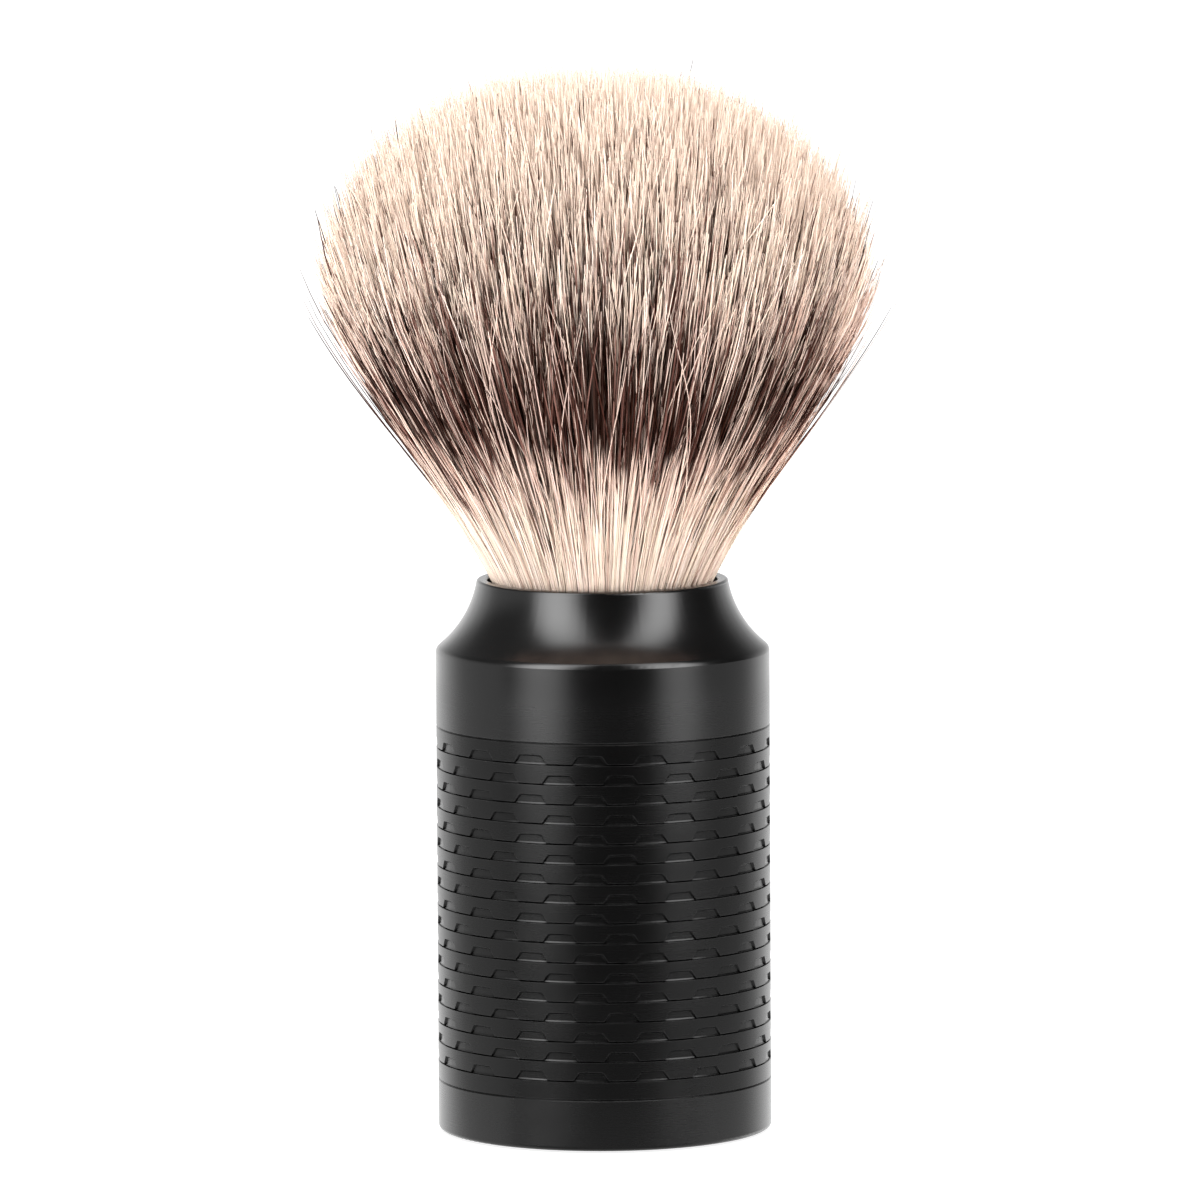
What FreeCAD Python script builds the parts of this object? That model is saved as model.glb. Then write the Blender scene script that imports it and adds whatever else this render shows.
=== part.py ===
import FreeCAD, Part

import math
import os

from FreeCAD import Vector

# A shaving brush: a turned metal handle (base cap, textured grip sleeve and neck collar, tied together
# by a bolt up the middle) and a brush head that screws down into the neck.
# Millimetres. +Z is up, and the origin is the centre of the face that the brush stands on.
# The front of the brush faces -Y.

# Handle, outside
BODY_RADIUS = 16.65
HANDLE_HEIGHT = 55.4
CAP_SEAM_Z = 5.3
COLLAR_SEAM_Z = 40.8
SEAM_CHAMFER = 0.11
FOOT_ROUNDING = 0.45

# Neck: a hollow curve from the sharp shoulder up to the thin rim
SHOULDER_Z = 48.2
SHOULDER_TOP_RADIUS = 16.35
SHOULDER_TOP_Z = 48.76
SHOULDER_BULGE = 0.07
WAIST_RADIUS = 14.14
WAIST_Z = 51.2
RIM_RADIUS = 12.57
RIM_ROUNDING = 0.3
HEAD_BORE_RADIUS = 11.5
HEAD_SEAT_Z = 47.4
BORE_CHAMFER = 0.15

# Texture of the grip: rows of a fine groove with trapezoid pockets standing on it
ROW_COUNT = 17
ROW_PITCH = 1.969
TOP_GROOVE_Z = 38.7
GROOVE_HALF_WIDTH = 0.08
GROOVE_DEPTH = 0.16
POCKETS_PER_ROW = 17
POCKET_BASE_WIDTH = 3.8
POCKET_TOP_WIDTH = 2.5
POCKET_HEIGHT = 0.94
POCKET_DEPTH = 0.21
POCKET_DEPTH_BASE = 0.17
POCKET_RAMP_HEIGHT = 0.14
POCKET_DRAFT = 0.16
FIRST_POCKET_ANGLE = -94.7

# Joints between the handle's own pieces
SPIGOT_LENGTH = 4.0
CAP_SPIGOT_LENGTH = 3.0
SLEEVE_BORE_RADIUS = 14.0
SPIGOT_RADIUS = 13.95
CORE_RADIUS = 13.9
LEAD_CHAMFER = 0.3

# Rubber rings in the spigots
RING_GROOVE_HEIGHT = 1.4
RING_GROOVE_RADIUS = 12.9
RING_GAP = 0.05
RING_CORNER_SHARE = 0.3

# Foot of the handle
PAD_RADIUS = 13.1
PAD_THICKNESS = 1.3
PAD_PROUD = 0.2
PAD_GAP = 0.1

# M6 tie bolt with a low socket head, and its spring washer
BOLT_RADIUS = 3.0
BOLT_HOLE_RADIUS = 3.2
BOLT_HEAD_RADIUS = 5.0
BOLT_HEAD_HEIGHT = 3.6
BOLT_TIP_Z = 37.4
SOCKET_ACROSS_FLATS = 5.0
SOCKET_DEPTH = 2.2
COUNTERBORE_RADIUS = 5.6
WASHER_RADIUS = 5.3
WASHER_THICKNESS = 0.6
BOLT_HEAD_Z = 1.7

# Brass nut under the neck: M8 from above for the head, M6 from below for the tie bolt
# Its hexagonal flange sits in a pocket of the same shape, which stops it turning.
NUT_RADIUS = 6.0
NUT_FLANGE_ACROSS_FLATS = 14.0
NUT_FLANGE_THICKNESS = 1.2
NUT_BOTTOM_Z = 29.9
NUT_POCKET_Z = 29.4
NUT_GAP = 0.08
STUD_HOLE_DEPTH = 9.4
THREAD_GAP = 0.05

# Dowels that stop the collar and the base cap turning on the core
DOWEL_RADIUS = 1.0
DOWEL_LENGTH = 5.0
DOWEL_OFFSET = 9.5
DOWEL_GAP = 0.02

# Brush head
STUD_RADIUS = 4.0
STUD_LENGTH = 8.5
STUD_HEAD_ACROSS_FLATS = 12.0
STUD_HEAD_THICKNESS = 1.2
STUD_TIP_CHAMFER = 0.8
CUP_RADIUS = 11.42
CUP_INNER_RADIUS = 10.9
CUP_FLOOR_THICKNESS = 1.3
CUP_TOP_Z = 54.6
SEAL_GROOVE_INNER = 4.8
SEAL_GROOVE_OUTER = 6.6
SEAL_HEIGHT = 0.7
SEAL_GAP = 0.1
PLUG_GAP = 0.05
PLUG_TOP_Z = 50.9
BINDING_CORD_RADIUS = 0.35
BINDING_TURNS = 3
BINDING_OUTER_RADIUS = 10.8

# Outline of the fibres above the neck: radius and height
KNOT_ROOT_RADIUS = 9.95
KNOT_RIM_RADIUS = 11.2
KNOT_RIM_Z = 55.8
KNOT_OUTLINE = (
    (13.0, 59.2),
    (18.4, 68.2),
    (24.1, 77.6),
    (26.5, 88.2),
    (23.0, 97.2),
    (13.0, 104.5),
)
KNOT_TOP_Z = 107.1
KNOT_RIM_SLOPE = 0.35

AXIS = Vector(0, 0, 1)
ORIGIN = Vector(0, 0, 0)


def point(radius, height):
    return Vector(radius, 0, height)


def line(start, end):
    return Part.makeLine(point(*start), point(*end))


def arc(start, middle, end):
    return Part.Arc(point(*start), point(*middle), point(*end)).toShape()


def rounded_corner(start, centre, end):
    """A quarter round from start to end about centre."""
    radius = math.dist(start, centre)
    reach_x = start[0] + end[0] - 2 * centre[0]
    reach_z = start[1] + end[1] - 2 * centre[1]
    scale = radius / math.hypot(reach_x, reach_z)
    middle = (centre[0] + reach_x * scale, centre[1] + reach_z * scale)
    return arc(start, middle, end)


def bulged_middle(start, end, bulge):
    """The middle of the chord from start up to end, moved outward by bulge."""
    length = math.dist(start, end)
    outward = ((end[1] - start[1]) / length, (start[0] - end[0]) / length)
    return (
        (start[0] + end[0]) / 2 + bulge * outward[0],
        (start[1] + end[1]) / 2 + bulge * outward[1],
    )


def revolve(edges):
    """A turned solid from the closed outline that the edges make in the XZ plane."""
    face = Part.Face(Part.Wire(Part.__sortEdges__(edges)))
    return face.revolve(ORIGIN, AXIS, 360)


def turned(corners):
    """A turned solid from the corners of a straight-sided outline."""
    loop = list(corners) + [corners[0]]
    return revolve([line(start, end) for start, end in zip(loop, loop[1:])])


def cylinder(radius, low, high):
    return Part.makeCylinder(radius, high - low, Vector(0, 0, low))


def tube(inner, outer, low, high):
    return cylinder(outer, low, high).cut(cylinder(inner, low, high))


def hexagon(across_flats, low, high):
    corner_radius = across_flats / 2 / math.cos(math.radians(30))
    corners = [
        Vector(corner_radius * math.cos(angle), corner_radius * math.sin(angle), low)
        for angle in (math.radians(60 * step) for step in range(7))
    ]
    return Part.Face(Part.makePolygon(corners)).extrude(Vector(0, 0, high - low))


def seal_ring(inner, outer, low, high):
    """A squeezed rubber ring: a rectangle with its corners rounded."""
    corner = RING_CORNER_SHARE * min(outer - inner, high - low)
    left, right = inner + corner, outer - corner
    bottom, top = low + corner, high - corner
    return revolve([
        line((left, low), (right, low)),
        rounded_corner((right, low), (right, bottom), (outer, bottom)),
        line((outer, bottom), (outer, top)),
        rounded_corner((outer, top), (right, top), (right, high)),
        line((right, high), (left, high)),
        rounded_corner((left, high), (left, top), (inner, top)),
        line((inner, top), (inner, bottom)),
        rounded_corner((inner, bottom), (left, bottom), (left, low)),
    ])


# ---------------------------------------------------------------- handle

CAP_SPIGOT_TOP_Z = CAP_SEAM_Z + CAP_SPIGOT_LENGTH
COLLAR_SPIGOT_Z = COLLAR_SEAM_Z - SPIGOT_LENGTH
CAP_RING_Z = CAP_SEAM_Z + (CAP_SPIGOT_LENGTH - RING_GROOVE_HEIGHT) / 2
COLLAR_RING_Z = COLLAR_SPIGOT_Z + (SPIGOT_LENGTH - RING_GROOVE_HEIGHT) / 2
WASHER_Z = BOLT_HEAD_Z + BOLT_HEAD_HEIGHT
COUNTERBORE_TOP_Z = WASHER_Z + WASHER_THICKNESS


def base_pad():
    return turned([
        (0, 0),
        (PAD_RADIUS - LEAD_CHAMFER, 0),
        (PAD_RADIUS, LEAD_CHAMFER),
        (PAD_RADIUS, PAD_THICKNESS),
        (0, PAD_THICKNESS),
    ])


def dowel(joint_z):
    """A pin half in the core and half in the piece that meets it at joint_z."""
    low, high = joint_z - DOWEL_LENGTH / 2, joint_z + DOWEL_LENGTH / 2
    return Part.makeCylinder(DOWEL_RADIUS, high - low, Vector(DOWEL_OFFSET, 0, low))


def dowel_hole(joint_z):
    low, high = joint_z - DOWEL_LENGTH / 2, joint_z + DOWEL_LENGTH / 2
    return Part.makeCylinder(DOWEL_RADIUS + DOWEL_GAP, high - low, Vector(DOWEL_OFFSET, 0, low))


def base_cap():
    recess_radius = PAD_RADIUS + PAD_GAP
    foot_radius = BODY_RADIUS - FOOT_ROUNDING
    foot_z = PAD_PROUD + FOOT_ROUNDING
    corners_before = [
        (BOLT_HOLE_RADIUS, COUNTERBORE_TOP_Z),
        (COUNTERBORE_RADIUS, COUNTERBORE_TOP_Z),
        (COUNTERBORE_RADIUS, PAD_THICKNESS),
        (recess_radius, PAD_THICKNESS),
        (recess_radius, PAD_PROUD),
        (foot_radius, PAD_PROUD),
    ]
    corners_after = [
        (BODY_RADIUS, foot_z),
        (BODY_RADIUS, CAP_SEAM_Z - SEAM_CHAMFER),
        (BODY_RADIUS - SEAM_CHAMFER, CAP_SEAM_Z),
        (SPIGOT_RADIUS, CAP_SEAM_Z),
        (SPIGOT_RADIUS, CAP_RING_Z),
        (RING_GROOVE_RADIUS, CAP_RING_Z),
        (RING_GROOVE_RADIUS, CAP_RING_Z + RING_GROOVE_HEIGHT),
        (SPIGOT_RADIUS, CAP_RING_Z + RING_GROOVE_HEIGHT),
        (SPIGOT_RADIUS, CAP_SPIGOT_TOP_Z - LEAD_CHAMFER),
        (SPIGOT_RADIUS - LEAD_CHAMFER, CAP_SPIGOT_TOP_Z),
        (BOLT_HOLE_RADIUS, CAP_SPIGOT_TOP_Z),
        corners_before[0],
    ]
    edges = [line(start, end) for start, end in zip(corners_before, corners_before[1:])]
    edges.append(rounded_corner(corners_before[-1], (foot_radius, foot_z), corners_after[0]))
    edges += [line(start, end) for start, end in zip(corners_after, corners_after[1:])]
    return revolve(edges).cut(dowel_hole(CAP_SPIGOT_TOP_Z))


def spigot_seal(groove_z):
    return seal_ring(
        RING_GROOVE_RADIUS + RING_GAP,
        SLEEVE_BORE_RADIUS - RING_GAP,
        groove_z + RING_GAP,
        groove_z + RING_GROOVE_HEIGHT - RING_GAP,
    )


def tie_bolt():
    head = cylinder(BOLT_HEAD_RADIUS, BOLT_HEAD_Z, WASHER_Z)
    socket = hexagon(SOCKET_ACROSS_FLATS, BOLT_HEAD_Z, BOLT_HEAD_Z + SOCKET_DEPTH)
    shank = turned([
        (0, WASHER_Z),
        (BOLT_RADIUS, WASHER_Z),
        (BOLT_RADIUS, BOLT_TIP_Z - LEAD_CHAMFER),
        (BOLT_RADIUS - LEAD_CHAMFER, BOLT_TIP_Z),
        (0, BOLT_TIP_Z),
    ])
    return head.cut(socket).fuse(shank).removeSplitter()


def spring_washer():
    return tube(BOLT_HOLE_RADIUS, WASHER_RADIUS, WASHER_Z, COUNTERBORE_TOP_Z)


def handle_core():
    bar = tube(BOLT_HOLE_RADIUS, CORE_RADIUS, CAP_SPIGOT_TOP_Z, COLLAR_SPIGOT_Z)
    nut_pocket = cylinder(NUT_RADIUS + NUT_GAP, NUT_POCKET_Z, COLLAR_SPIGOT_Z)
    return bar.cut([nut_pocket, dowel_hole(CAP_SPIGOT_TOP_Z), dowel_hole(COLLAR_SPIGOT_Z)])


def coupling_nut():
    stud_hole_z = HEAD_SEAT_Z - STUD_HOLE_DEPTH
    flange = hexagon(NUT_FLANGE_ACROSS_FLATS, HEAD_SEAT_Z - NUT_FLANGE_THICKNESS, HEAD_SEAT_Z)
    barrel = cylinder(NUT_RADIUS, NUT_BOTTOM_Z, HEAD_SEAT_Z)
    stud_hole = cylinder(STUD_RADIUS + THREAD_GAP, stud_hole_z, HEAD_SEAT_Z)
    bolt_hole = cylinder(BOLT_RADIUS + THREAD_GAP, NUT_BOTTOM_Z, stud_hole_z)
    return flange.fuse(barrel).cut([stud_hole, bolt_hole]).removeSplitter()


def pocket_cutter():
    """One pocket, facing +X and standing on z = 0: a drafted trapezoid. Its floor follows the body's
    curve, and rises a little in a ramp along the lower edge."""
    inside, outside = BODY_RADIUS - 2 * POCKET_DEPTH, BODY_RADIUS + POCKET_DEPTH
    loops = []
    for radius in (inside, outside):
        spread = POCKET_DRAFT * (radius - BODY_RADIUS) / POCKET_DEPTH
        half_base = POCKET_BASE_WIDTH / 2 + spread
        half_top = POCKET_TOP_WIDTH / 2 + spread
        top = POCKET_HEIGHT + spread
        corners = [(-half_base, 0), (half_base, 0), (half_top, top), (-half_top, top), (-half_base, 0)]
        loops.append(Part.makePolygon([Vector(radius, side, height) for side, height in corners]))
    block = Part.makeLoft(loops, True, True)
    ramp = Part.makeCone(
        BODY_RADIUS - POCKET_DEPTH_BASE,
        BODY_RADIUS - POCKET_DEPTH,
        POCKET_RAMP_HEIGHT,
    )
    floor = cylinder(BODY_RADIUS - POCKET_DEPTH, POCKET_RAMP_HEIGHT, 2 * POCKET_HEIGHT)
    return block.cut(ramp).cut(floor)


def groove_cutter(height):
    return turned([
        (BODY_RADIUS - GROOVE_DEPTH, height),
        (BODY_RADIUS + GROOVE_DEPTH, height - 2 * GROOVE_HALF_WIDTH),
        (BODY_RADIUS + GROOVE_DEPTH, height + 2 * GROOVE_HALF_WIDTH),
    ])


def grip_sleeve():
    sleeve = turned([
        (SLEEVE_BORE_RADIUS, CAP_SEAM_Z),
        (BODY_RADIUS - SEAM_CHAMFER, CAP_SEAM_Z),
        (BODY_RADIUS, CAP_SEAM_Z + SEAM_CHAMFER),
        (BODY_RADIUS, COLLAR_SEAM_Z - SEAM_CHAMFER),
        (BODY_RADIUS - SEAM_CHAMFER, COLLAR_SEAM_Z),
        (SLEEVE_BORE_RADIUS, COLLAR_SEAM_Z),
    ])
    step = 360 / POCKETS_PER_ROW
    master = pocket_cutter()
    pockets = []
    grooves = []
    for row in range(ROW_COUNT):
        height = TOP_GROOVE_Z - row * ROW_PITCH
        grooves.append(groove_cutter(height))
        for place in range(POCKETS_PER_ROW):
            pocket = master.copy()
            pocket.rotate(ORIGIN, AXIS, FIRST_POCKET_ANGLE + (place + row % 2 / 2) * step)
            pocket.translate(Vector(0, 0, height))
            pockets.append(pocket)
    return sleeve.cut(Part.makeCompound(pockets)).cut(Part.makeCompound(grooves))


def neck_collar():
    rim_z = HANDLE_HEIGHT - RIM_ROUNDING
    shoulder = (BODY_RADIUS, SHOULDER_Z)
    shoulder_top = (SHOULDER_TOP_RADIUS, SHOULDER_TOP_Z)
    below = [
        (HEAD_BORE_RADIUS, HANDLE_HEIGHT - BORE_CHAMFER),
        (HEAD_BORE_RADIUS, HEAD_SEAT_Z),
        (NUT_RADIUS + NUT_GAP, HEAD_SEAT_Z),
        (NUT_RADIUS + NUT_GAP, COLLAR_SPIGOT_Z),
        (SPIGOT_RADIUS - LEAD_CHAMFER, COLLAR_SPIGOT_Z),
        (SPIGOT_RADIUS, COLLAR_SPIGOT_Z + LEAD_CHAMFER),
        (SPIGOT_RADIUS, COLLAR_RING_Z),
        (RING_GROOVE_RADIUS, COLLAR_RING_Z),
        (RING_GROOVE_RADIUS, COLLAR_RING_Z + RING_GROOVE_HEIGHT),
        (SPIGOT_RADIUS, COLLAR_RING_Z + RING_GROOVE_HEIGHT),
        (SPIGOT_RADIUS, COLLAR_SEAM_Z),
        (BODY_RADIUS - SEAM_CHAMFER, COLLAR_SEAM_Z),
        (BODY_RADIUS, COLLAR_SEAM_Z + SEAM_CHAMFER),
        shoulder,
    ]
    edges = [line(start, end) for start, end in zip(below, below[1:])]
    edges.append(arc(shoulder, bulged_middle(shoulder, shoulder_top, SHOULDER_BULGE), shoulder_top))
    edges.append(arc(shoulder_top, (WAIST_RADIUS, WAIST_Z), (RIM_RADIUS, rim_z)))
    rim_inner = RIM_RADIUS - RIM_ROUNDING
    edges.append(rounded_corner((RIM_RADIUS, rim_z), (rim_inner, rim_z), (rim_inner, HANDLE_HEIGHT)))
    bore_edge = (HEAD_BORE_RADIUS + BORE_CHAMFER, HANDLE_HEIGHT)
    edges.append(line((rim_inner, HANDLE_HEIGHT), bore_edge))
    edges.append(line(bore_edge, below[0]))
    flange_pocket = hexagon(
        NUT_FLANGE_ACROSS_FLATS + 2 * NUT_GAP,
        HEAD_SEAT_Z - NUT_FLANGE_THICKNESS,
        HEAD_SEAT_Z,
    )
    return revolve(edges).cut([flange_pocket, dowel_hole(COLLAR_SPIGOT_Z)])


# ---------------------------------------------------------------- brush head

CUP_FLOOR_Z = HEAD_SEAT_Z + CUP_FLOOR_THICKNESS


def head_stud():
    shank = turned([
        (0, CUP_FLOOR_Z),
        (STUD_RADIUS, CUP_FLOOR_Z),
        (STUD_RADIUS, HEAD_SEAT_Z - STUD_LENGTH + STUD_TIP_CHAMFER),
        (STUD_RADIUS - STUD_TIP_CHAMFER, HEAD_SEAT_Z - STUD_LENGTH),
        (0, HEAD_SEAT_Z - STUD_LENGTH),
    ])
    head = hexagon(STUD_HEAD_ACROSS_FLATS, CUP_FLOOR_Z, CUP_FLOOR_Z + STUD_HEAD_THICKNESS)
    return shank.fuse(head).removeSplitter()


def head_seal():
    return seal_ring(
        SEAL_GROOVE_INNER + SEAL_GAP,
        SEAL_GROOVE_OUTER - SEAL_GAP,
        HEAD_SEAT_Z,
        HEAD_SEAT_Z + SEAL_HEIGHT,
    )


def head_cup():
    return turned([
        (STUD_RADIUS + THREAD_GAP, HEAD_SEAT_Z),
        (SEAL_GROOVE_INNER, HEAD_SEAT_Z),
        (SEAL_GROOVE_INNER, HEAD_SEAT_Z + SEAL_HEIGHT),
        (SEAL_GROOVE_OUTER, HEAD_SEAT_Z + SEAL_HEIGHT),
        (SEAL_GROOVE_OUTER, HEAD_SEAT_Z),
        (CUP_RADIUS - LEAD_CHAMFER, HEAD_SEAT_Z),
        (CUP_RADIUS, HEAD_SEAT_Z + LEAD_CHAMFER),
        (CUP_RADIUS, CUP_TOP_Z - BORE_CHAMFER),
        (CUP_RADIUS - BORE_CHAMFER, CUP_TOP_Z),
        (CUP_INNER_RADIUS, CUP_TOP_Z),
        (CUP_INNER_RADIUS, CUP_FLOOR_Z),
        (STUD_RADIUS + THREAD_GAP, CUP_FLOOR_Z),
    ])


def glue_plug():
    plug = cylinder(CUP_INNER_RADIUS - PLUG_GAP, CUP_FLOOR_Z, PLUG_TOP_Z)
    return plug.cut(hexagon(STUD_HEAD_ACROSS_FLATS, CUP_FLOOR_Z, CUP_FLOOR_Z + STUD_HEAD_THICKNESS))


def knot_binding():
    """Turns of waxed cord round the root, lying on each other as one ridged band."""
    outer = BINDING_OUTER_RADIUS
    middle = outer - BINDING_CORD_RADIUS
    inner = outer - 2 * BINDING_CORD_RADIUS
    edges = []
    for turn in range(BINDING_TURNS):
        low = PLUG_TOP_Z + 2 * BINDING_CORD_RADIUS * turn
        high = low + 2 * BINDING_CORD_RADIUS
        edges.append(arc((middle, low), (outer, low + BINDING_CORD_RADIUS), (middle, high)))
    edges.append(line((middle, high), (inner, high)))
    edges.append(line((inner, high), (inner, PLUG_TOP_Z)))
    edges.append(line((inner, PLUG_TOP_Z), (middle, PLUG_TOP_Z)))
    return revolve(edges)


def bristle_knot():
    binding_top = PLUG_TOP_Z + 2 * BINDING_CORD_RADIUS * BINDING_TURNS
    rim, top = (KNOT_RIM_RADIUS, KNOT_RIM_Z), (0, KNOT_TOP_Z)
    outline = Part.BSplineCurve()
    outline.interpolate(
        Points=[point(*place) for place in (rim, *KNOT_OUTLINE, top)],
        InitialTangent=Vector(KNOT_RIM_SLOPE, 0, 1),
        FinalTangent=Vector(-1, 0, 0),
    )
    return revolve([
        line(top, (0, PLUG_TOP_Z)),
        line((0, PLUG_TOP_Z), (KNOT_ROOT_RADIUS, PLUG_TOP_Z)),
        line((KNOT_ROOT_RADIUS, PLUG_TOP_Z), (KNOT_ROOT_RADIUS, binding_top)),
        line((KNOT_ROOT_RADIUS, binding_top), rim),
        outline.toShape(),
    ])


PIECES = {
    "base_pad": base_pad,
    "base_cap": base_cap,
    "base_seal": lambda: spigot_seal(CAP_RING_Z),
    "tie_bolt": tie_bolt,
    "spring_washer": spring_washer,
    "base_dowel": lambda: dowel(CAP_SPIGOT_TOP_Z),
    "handle_core": handle_core,
    "collar_dowel": lambda: dowel(COLLAR_SPIGOT_Z),
    "grip_sleeve": grip_sleeve,
    "collar_seal": lambda: spigot_seal(COLLAR_RING_Z),
    "neck_collar": neck_collar,
    "coupling_nut": coupling_nut,
    "head_seal": head_seal,
    "head_stud": head_stud,
    "head_cup": head_cup,
    "glue_plug": glue_plug,
    "knot_binding": knot_binding,
    "bristle_knot": bristle_knot,
}

os.makedirs("parts", exist_ok=True)
for name, make in PIECES.items():
    solid = make()
    if not solid.isValid() or len(solid.Solids) != 1:
        raise ValueError(name + " is not one valid solid")
    solid.Solids[0].exportStep("parts/" + name + ".step")
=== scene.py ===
import math

import bpy
import numpy as np
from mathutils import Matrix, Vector


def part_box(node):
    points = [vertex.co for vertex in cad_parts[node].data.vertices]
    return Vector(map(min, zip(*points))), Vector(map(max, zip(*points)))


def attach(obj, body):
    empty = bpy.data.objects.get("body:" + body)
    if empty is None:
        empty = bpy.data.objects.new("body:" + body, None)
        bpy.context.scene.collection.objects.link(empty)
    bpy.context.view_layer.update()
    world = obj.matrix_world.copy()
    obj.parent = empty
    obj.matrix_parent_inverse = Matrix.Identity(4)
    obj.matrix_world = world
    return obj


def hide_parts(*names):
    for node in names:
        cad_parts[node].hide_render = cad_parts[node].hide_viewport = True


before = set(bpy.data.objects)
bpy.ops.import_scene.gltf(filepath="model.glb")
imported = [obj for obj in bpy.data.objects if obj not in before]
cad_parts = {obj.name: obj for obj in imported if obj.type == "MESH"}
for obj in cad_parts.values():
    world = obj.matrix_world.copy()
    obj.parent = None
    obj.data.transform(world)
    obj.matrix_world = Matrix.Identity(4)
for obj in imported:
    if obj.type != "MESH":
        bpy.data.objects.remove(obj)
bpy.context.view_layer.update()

# A shaving brush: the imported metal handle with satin-black finishes, and a knot of about 23,000 synthetic
# fibres, each one a thin tapered solid. Lengths are in metres, except where a note says mm or MM multiplies
# them. The brush's axis is Z, and its front is towards -Y.

MM = 0.001

# ---------------------------------------------------------------- places taken from the frame

CUP_TOP_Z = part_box("head_cup")[1].z
BINDING_TOP_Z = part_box("knot_binding")[1].z
KNOT_TOP_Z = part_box("bristle_knot")[1].z
BODY_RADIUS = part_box("grip_sleeve")[1].x


# ---------------------------------------------------------------- camera

CAMERA_DISTANCE = 1.257
CAMERA_ELEVATION = math.radians(6.66)
CAMERA_ROLL = math.radians(0.3)
CAMERA_LENS = 378.3
SENSOR_WIDTH = 36.0
NEAREST_SEEN, FURTHEST_SEEN = 0.05, 100.0
AIM = Vector((-0.00024, 0.0, 0.0532))


def make_camera():
    data = bpy.data.cameras.new("camera")
    data.lens = CAMERA_LENS
    data.sensor_width = SENSOR_WIDTH
    data.clip_start, data.clip_end = NEAREST_SEEN, FURTHEST_SEEN
    camera = bpy.data.objects.new("camera", data)
    back = Vector((0.0, -math.cos(CAMERA_ELEVATION), math.sin(CAMERA_ELEVATION)))
    camera.location = AIM + back * CAMERA_DISTANCE
    camera.rotation_euler = (-back).to_track_quat("-Z", "Y").to_euler()
    camera.rotation_euler.rotate_axis("Z", -CAMERA_ROLL)
    bpy.context.scene.collection.objects.link(camera)
    bpy.context.scene.camera = camera


# ---------------------------------------------------------------- node helpers

class Nodes:
    """A short way to write the nodes of a light, a world or a material."""

    def __init__(self, tree):
        self.tree = tree

    def node(self, kind, **settings):
        made = self.tree.nodes.new(kind)
        for key, value in settings.items():
            setattr(made, key, value)
        return made

    def link(self, source, target):
        self.tree.links.new(source, target)

    def feed(self, socket, value):
        """The socket gets value, which is another node's output, a colour of three numbers, or a number."""
        if isinstance(value, bpy.types.NodeSocket):
            self.link(value, socket)
        elif isinstance(value, tuple):
            socket.default_value = (*value, 1)
        else:
            socket.default_value = value

    def ranged(self, value, low, high, to_low, to_high, smooth=False):
        """value from low to high, as a number from to_low to to_high."""
        made = self.node("ShaderNodeMapRange")
        if smooth:
            made.interpolation_type = "SMOOTHSTEP"
        for key, number in zip(("From Min", "From Max", "To Min", "To Max"), (low, high, to_low, to_high)):
            self.feed(made.inputs[key], number)
        self.link(value, made.inputs["Value"])
        return made.outputs[0]

    def math(self, operation, *values):
        made = self.node("ShaderNodeMath", operation=operation)
        for socket, value in zip(made.inputs, values):
            self.feed(socket, value)
        return made.outputs[0]

    def split(self, vector):
        """The X, Y and Z outputs of a vector."""
        made = self.node("ShaderNodeSeparateXYZ")
        self.link(vector, made.inputs[0])
        return made.outputs["X"], made.outputs["Y"], made.outputs["Z"]


class Look(Nodes):
    """A material, and a short way to write its nodes."""

    def __init__(self, name):
        self.material = bpy.data.materials.new(name)
        self.material.use_nodes = True
        super().__init__(self.material.node_tree)
        self.shader = self.tree.nodes["Principled BSDF"]
        self.place = self.node("ShaderNodeTexCoord").outputs["Object"]

    def stretched(self, scale):
        """The object's coordinates in metres, times scale along X, Y and Z."""
        mapping = self.node("ShaderNodeMapping")
        mapping.inputs["Scale"].default_value = scale
        self.link(self.place, mapping.inputs["Vector"])
        return mapping.outputs[0]

    def noise(self, scale, detail=3.0, roughness=0.5, stretch=(1, 1, 1)):
        made = self.node("ShaderNodeTexNoise")
        made.inputs["Scale"].default_value = scale
        made.inputs["Detail"].default_value = detail
        made.inputs["Roughness"].default_value = roughness
        self.link(self.stretched(stretch), made.inputs["Vector"])
        return made.outputs["Fac"]

    def ramp(self, value, stops):
        """The colour that the stops, each a place and a colour, give for value."""
        made = self.node("ShaderNodeValToRGB")
        elements = made.color_ramp.elements
        while len(elements) < len(stops):
            elements.new(0.5)
        for element, (place, colour) in zip(elements, stops):
            element.position = place
            element.color = (*colour, 1)
        self.link(value, made.inputs[0])
        return made.outputs["Color"]

    def mix(self, share, first, second):
        """The colour that goes from first to second as share goes from 0 to 1."""
        made = self.node("ShaderNodeMix", data_type="RGBA")
        for number, value in ((0, share), (6, first), (7, second)):
            self.feed(made.inputs[number], value)
        return made.outputs[2]

    def bump(self, height, strength, distance):
        made = self.node("ShaderNodeBump")
        made.inputs["Strength"].default_value = strength
        made.inputs["Distance"].default_value = distance
        self.link(height, made.inputs["Height"])
        return made.outputs[0]

    def edges(self, radius):
        """1 on sharp edges, 0 on flat and gently curved faces."""
        bevel = self.node("ShaderNodeBevel", samples=4)
        bevel.inputs["Radius"].default_value = radius
        geometry = self.node("ShaderNodeNewGeometry")
        dot = self.node("ShaderNodeVectorMath", operation="DOT_PRODUCT")
        self.link(bevel.outputs[0], dot.inputs[0])
        self.link(geometry.outputs["Normal"], dot.inputs[1])
        return self.ranged(dot.outputs["Value"], 0.99, 0.80, 0.0, 1.0)

    def finish(self, colour, roughness, normal, **settings):
        self.link(colour, self.shader.inputs["Base Color"])
        self.link(roughness, self.shader.inputs["Roughness"])
        self.link(normal, self.shader.inputs["Normal"])
        for key, value in settings.items():
            self.shader.inputs[key.replace("_", " ")].default_value = value
        return self.material


# ---------------------------------------------------------------- lights, surroundings and floor

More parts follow.
